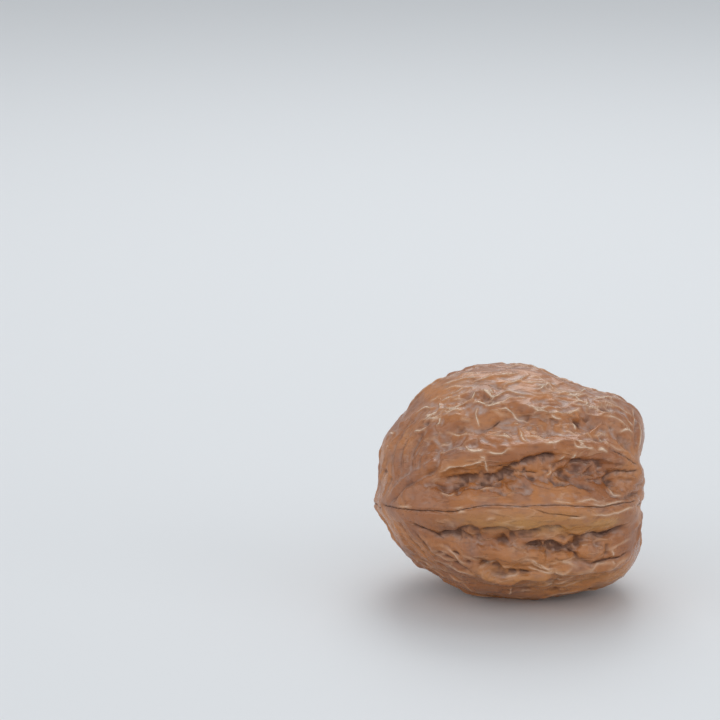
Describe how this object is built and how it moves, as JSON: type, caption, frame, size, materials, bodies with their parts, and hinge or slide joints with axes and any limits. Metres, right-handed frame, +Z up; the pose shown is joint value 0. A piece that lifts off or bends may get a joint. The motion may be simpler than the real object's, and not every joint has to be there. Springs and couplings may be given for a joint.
{
  "type": "walnut",
  "caption": "Whole walnut in its wrinkled brown shell, with a raised seam band, a pointed tip and pitted cheeks, lying on its side on a small flat spot.",
  "frame": {"origin": "middle of the bounding box, at the level of the flat spot that the nut rests on", "axes": "+X along the nut from its pointed tip to its stem end, +Z up, +Y away from the seam edge that stands a little higher"},
  "size_m": [0.042, 0.038, 0.0355],
  "materials": {
    "nutshell": "dry woody nutshell, warm reddish brown with paler ridge lines and darker pits, low satin sheen"
  },
  "bodies": {
    "root": {"walnut": "nutshell"}
  },
  "joints": []
}
